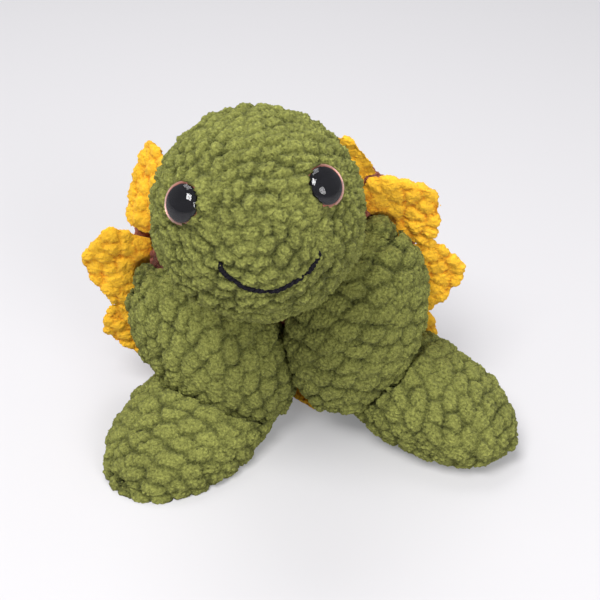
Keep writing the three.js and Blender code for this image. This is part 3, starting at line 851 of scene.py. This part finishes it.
clear, nodes, links, surface = shader("clear_dome")
surface.inputs["Transmission Weight"].default_value = 1
surface.inputs["IOR"].default_value = 1.49
path = nodes.new("ShaderNodeLightPath")
opaque = nodes.new("ShaderNodeMath")
opaque.operation = "SUBTRACT"
opaque.inputs[0].default_value = 1
links.new(path.outputs["Is Shadow Ray"], opaque.inputs[1])
links.new(opaque.outputs[0], surface.inputs["Alpha"])
haze = pattern(nodes, links, "ShaderNodeTexNoise", Scale=90)
polish = nodes.new("ShaderNodeMapRange")
polish.inputs["To Min"].default_value = 0.02
polish.inputs["To Max"].default_value = 0.07
links.new(haze.outputs["Fac"], polish.inputs["Value"])
links.new(polish.outputs[0], surface.inputs["Roughness"])

black, nodes, links, surface = shader("glossy_black")
surface.inputs["Roughness"].default_value = 0.4
surface.inputs["Specular IOR Level"].default_value = 0
dust = pattern(nodes, links, "ShaderNodeTexNoise", Scale=500)
two_tones(nodes, links, surface, dust, (0.002, 0.002, 0.003), (0.007, 0.007, 0.009))

copper, nodes, links, surface = shader("pearly_copper")
surface.inputs["Roughness"].default_value = 0.3
surface.inputs["Metallic"].default_value = 0.35
across = nodes.new("ShaderNodeAttribute")
across.attribute_name = "across"
ring = nodes.new("ShaderNodeValToRGB")
ring.color_ramp.elements[0].position = 0.66
ring.color_ramp.elements[0].color = (0.25, 0.06, 0.04, 1)
ring.color_ramp.elements[1].position = 0.97
ring.color_ramp.elements[1].color = (0.7, 0.66, 0.74, 1)
for position, colour in ((0.74, (0.5, 0.17, 0.11)), (0.83, (0.68, 0.36, 0.31)), (0.9, (0.7, 0.56, 0.6))):
    ring.color_ramp.elements.new(position).color = (*colour, 1)
links.new(across.outputs["Fac"], ring.inputs["Fac"])
links.new(ring.outputs["Color"], surface.inputs["Base Color"])

moulded, nodes, links, surface = shader("moulded_washer")
surface.inputs["Roughness"].default_value = 0.5
grain = pattern(nodes, links, "ShaderNodeTexNoise", Scale=400)
two_tones(nodes, links, surface, grain, (0.74, 0.74, 0.7), (0.86, 0.86, 0.83))


def faces_where(piece, test):
    """Selects the faces of the piece in edit mode whose middle and normal pass a test."""
    bpy.ops.mesh.select_all(action="DESELECT")
    bpy.ops.mesh.select_mode(type="FACE")
    mesh = bmesh.from_edit_mesh(piece.data)
    for face in mesh.faces:
        if test(face.calc_center_median(), face.normal):
            face.select_set(True)
    bmesh.update_edit_mesh(piece.data)


def settle(piece, place):
    """Puts a finished piece in its place, and leaves its object at the origin."""
    piece.data.transform(place)
    piece.data.update()
    piece.data.shade_smooth()
    select_only(piece)
    bpy.ops.object.shade_smooth_by_angle(angle=sharp_edge)


for side, (iris_middle, look) in eye_seats.items():
    eye_place = Matrix.Translation(iris_middle) @ look.to_track_quat("Z", "Y").to_matrix().to_4x4()
    back = iris_thickness / 2 + eye_gap

    # The dome, with a pocket for the pupil in its flat back
    bpy.ops.object.select_all(action="DESELECT")
    bpy.ops.mesh.primitive_uv_sphere_add(segments=eye_sides, ring_count=eye_sides // 2, radius=eye_radius)
    dome = bpy.context.active_object
    dome.name = f"eye_dome_{side}"
    bpy.ops.object.mode_set(mode="EDIT")
    bpy.ops.mesh.select_all(action="SELECT")
    bpy.ops.mesh.bisect(plane_co=(0, 0, 0), plane_no=(0, 0, 1), clear_inner=True, use_fill=True)
    bpy.ops.mesh.select_all(action="SELECT")
    bpy.ops.transform.resize(
        value=(1, 1, (dome_height - eye_edge) / eye_radius), center_override=(0, 0, 0))
    faces_where(dome, lambda middle, normal: normal.z < -flat_facing)
    bpy.ops.mesh.extrude_region_move(TRANSFORM_OT_translate={"value": (0, 0, -eye_edge - eye_gap - eye_bond)})
    bpy.ops.mesh.inset(thickness=eye_radius - pupil_radius + eye_bond)
    bpy.ops.mesh.extrude_region_move(TRANSFORM_OT_translate={"value": (0, 0, pupil_thickness + eye_gap)})
    bpy.ops.mesh.select_all(action="SELECT")
    bpy.ops.mesh.normals_make_consistent(inside=False)
    bpy.ops.object.mode_set(mode="OBJECT")
    settle(dome, eye_place @ Matrix.Translation((0, 0, back + eye_edge)))
    dome.data.materials.append(clear)
    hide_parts(f"eye_lens_{side}")
    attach(dome, "head")

    # The black pupil and its ribbed stem, moulded in one
    bpy.ops.object.select_all(action="DESELECT")
    bpy.ops.mesh.primitive_cylinder_add(vertices=eye_sides, radius=pupil_radius, depth=pupil_thickness)
    pupil = bpy.context.active_object
    pupil.name = f"eye_pupil_disc_{side}"
    bpy.ops.object.mode_set(mode="EDIT")
    faces_where(pupil, lambda middle, normal: normal.z < -flat_facing)
    bpy.ops.mesh.inset(thickness=pupil_radius - stem_radius)
    for _ in range(stem_ribs):
        for share, waist in ((rib_share, rib_waist), (1 - rib_share, 1 / rib_waist)):
            down = -stem_length / stem_ribs * share
            bpy.ops.mesh.extrude_region_move(TRANSFORM_OT_translate={"value": (0, 0, down)})
            bpy.ops.transform.resize(value=(waist, waist, 1))
    faces_where(pupil, lambda middle, normal: normal.z > flat_facing)
    bpy.ops.mesh.bevel(offset=pupil_round, segments=2, affect="EDGES")
    bpy.ops.object.mode_set(mode="OBJECT")
    settle(pupil, eye_place @ Matrix.Translation((0, 0, back + pupil_thickness / 2)))
    pupil.data.materials.append(black)
    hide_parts(f"eye_pupil_{side}")
    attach(pupil, "head")

    # The copper disc behind them, with a hole for the stem
    bpy.ops.object.select_all(action="DESELECT")
    bpy.ops.mesh.primitive_cylinder_add(
        vertices=eye_sides, radius=eye_radius - eye_gap, depth=iris_thickness, end_fill_type="NGON")
    iris = bpy.context.active_object
    iris.name = f"eye_ring_{side}"
    bpy.ops.object.mode_set(mode="EDIT")
    for way in (1, -1):
        faces_where(iris, lambda middle, normal: normal.z * way > flat_facing)
        for _ in range(ring_steps):
            bpy.ops.mesh.inset(thickness=(eye_radius - 2 * eye_gap - stem_radius) / ring_steps)
    faces_where(iris, lambda middle, normal: abs(normal.z) > flat_facing and middle.xy.length < 0.1 * mm)
    bpy.ops.mesh.bridge_edge_loops()
    bpy.ops.mesh.select_all(action="SELECT")
    bpy.ops.mesh.normals_make_consistent(inside=False)
    bpy.ops.object.mode_set(mode="OBJECT")
    keep_value(iris, "across", np.linalg.norm(points_of(iris)[:, :2], axis=1) / eye_radius)
    settle(iris, eye_place)
    iris.data.materials.append(copper)
    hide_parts(f"eye_iris_{side}")
    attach(iris, "head")

    washer = frame["nodes"][f"eye_washer_{side}"]
    washer.data.materials.clear()
    washer.data.materials.append(moulded)

# The mouth
# Black yarn of two plies, sewn along a wide smile in a few long stitches. The pile of the face closes over
# its edges.
mouth_radius = 1.5 * mm
mouth_step = 1 * mm
mouth_low = 0.7 * mm
mouth_dip = 1.1 * mm
mouth_points = 120
stitch_points = 30
twist_points = 9
ply_radius = 0.9 * mm
ply_seat = 0.8
groove_wide = 2.2 * mm
groove_low = 0.4 * mm
mouth_shares = [(-0.52, -0.35), (-0.46, -0.44), (-0.39, -0.52), (-0.26, -0.59), (-0.09, -0.65),
                (0.06, -0.63), (0.18, -0.58), (0.29, -0.49), (0.36, -0.4), (0.37, -0.33)]


def smooth_route(stations, count):
    """Even points on a smooth curve through the stations."""
    stations = [stations[0] * 2 - stations[1], *stations, stations[-1] * 2 - stations[-2]]
    spans = len(stations) - 3
    route = []
    for k in range(count + 1):
        at = min(k / count * spans, spans - least)
        i, t = int(at), at - int(at)
        a, b, c, d = stations[i:i + 4]
        route.append(0.5 * (2 * b + (c - a) * t + (2 * a - 5 * b + 4 * c - d) * t ** 2
                            + (3 * b - a - 3 * c + d) * t ** 3))
    return route


lay = head_radius - mouth_radius + mouth_step - mouth_low
mouth_stations = [
    Vector((across, math.sqrt(1 - across ** 2 - above ** 2), above)) * lay for across, above in mouth_shares
]
mouth_route = smooth_route(mouth_stations, mouth_points)

# The yarn lies in a groove that its stitches pull into the face
route_tree = kdtree.KDTree(len(mouth_route))
for number, spot in enumerate(mouth_route):
    route_tree.insert(head_place @ spot, number)
route_tree.balance()
places = points_of(head)
for i, place in enumerate(places):
    far = route_tree.find(place)[2]
    if far < 3 * groove_wide:
        out = (Vector(place) - head_middle).normalized()
        height = (Vector(place) - head_middle).length - lay
        places[i] -= np.array(out) * max(0, height + groove_low) * math.exp(-(far / groove_wide) ** 4)
move_points(head, places)

plies = []
for ply in (0, 1):
    points = []
    for k, spot in enumerate(mouth_route):
        ahead = mouth_route[min(k + 1, mouth_points)] - mouth_route[max(k - 1, 0)]
        out = spot.normalized()
        beside = ahead.cross(out).normalized()
        twist = 2 * math.pi * k / twist_points + math.pi * ply
        dip = mouth_dip * max(0, math.cos(2 * math.pi * k / stitch_points)) ** 6
        points.append(head_place @ (
            spot - out * dip + (out * math.sin(twist) + beside * math.cos(twist)) * ply_radius * ply_seat))
    plies.append(yarn_along(f"mouth_ply_{ply}", points, ply_radius, False))
bpy.ops.object.select_all(action="DESELECT")
for ply in plies:
    ply.select_set(True)
bpy.context.view_layer.objects.active = plies[0]
bpy.ops.object.join()
mouth = plies[0]
mouth.name = "mouth_stitches"
mouth.data.materials.append(spun_yarn(
    "black_wool", tops=(0.016, 0.014, 0.02), hollows=(0.003, 0.003, 0.005), ply=1100, sheen=0))
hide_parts("mouth_yarn")
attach(mouth, "head")

# The place where it is photographed
# A pale plain floor under soft daylight from the front and the left, seen from above at 35 degrees.
camera_point = Vector((-0.0009, -0.6057, 0.5343))
camera_down = math.radians(35)
focal_pixels = 1140
photo_pixels = 600

bpy.ops.object.select_all(action="DESELECT")
bpy.ops.object.camera_add(location=camera_point, rotation=(math.pi / 2 - camera_down, 0, 0))
camera = bpy.context.active_object
camera.data.sensor_width = 36
camera.data.lens = camera.data.sensor_width * focal_pixels / photo_pixels
bpy.context.scene.camera = camera

bpy.ops.mesh.primitive_plane_add(size=12)
floor = bpy.context.active_object
floor.name = "floor"
pale, nodes, links, surface = shader("pale_floor")
surface.inputs["Base Color"].default_value = (0.485, 0.475, 0.485, 1)
surface.inputs["Specular IOR Level"].default_value = 0
surface.inputs["Roughness"].default_value = 0.9
surface.inputs["Emission Color"].default_value = (0.97, 0.98, 1, 1)
seen = nodes.new("ShaderNodeLightPath")
either = nodes.new("ShaderNodeMath")
links.new(seen.outputs["Is Camera Ray"], either.inputs[0])
links.new(seen.outputs["Is Glossy Ray"], either.inputs[1])
through = nodes.new("ShaderNodeMath")
links.new(either.outputs[0], through.inputs[0])
links.new(seen.outputs["Is Transmission Ray"], through.inputs[1])
glow = nodes.new("ShaderNodeMath")
glow.operation = "MULTIPLY"
glow.inputs[1].default_value = 0.19
links.new(through.outputs[0], glow.inputs[0])
links.new(glow.outputs[0], surface.inputs["Emission Strength"])
floor.data.materials.append(pale)

for place, target, size, power in (
    (Vector((-0.5, -1, 1.95)), Vector((0, 0, 0.15)), 0.9, 46),
    (Vector((1, -1.6, 1)), Vector((0, 0, 0.12)), 0.9, 19),
    (Vector((-0.3, 0.6, 1.7)), Vector((0, 0, 0.15)), 0.9, 10),
):
    bpy.ops.object.light_add(type="AREA", location=place)
    lamp = bpy.context.active_object
    lamp.data.shape = "SQUARE"
    lamp.data.size = size
    lamp.data.energy = power
    lamp.rotation_euler = (target - place).to_track_quat("-Z", "Y").to_euler()

world = bpy.data.worlds.new("daylight")
bpy.context.scene.world = world
world.use_nodes = True
world.node_tree.nodes["Background"].inputs["Color"].default_value = (0.95, 0.95, 1, 1)
world.node_tree.nodes["Background"].inputs["Strength"].default_value = 0.42
bpy.context.scene.view_settings.view_transform = "Standard"
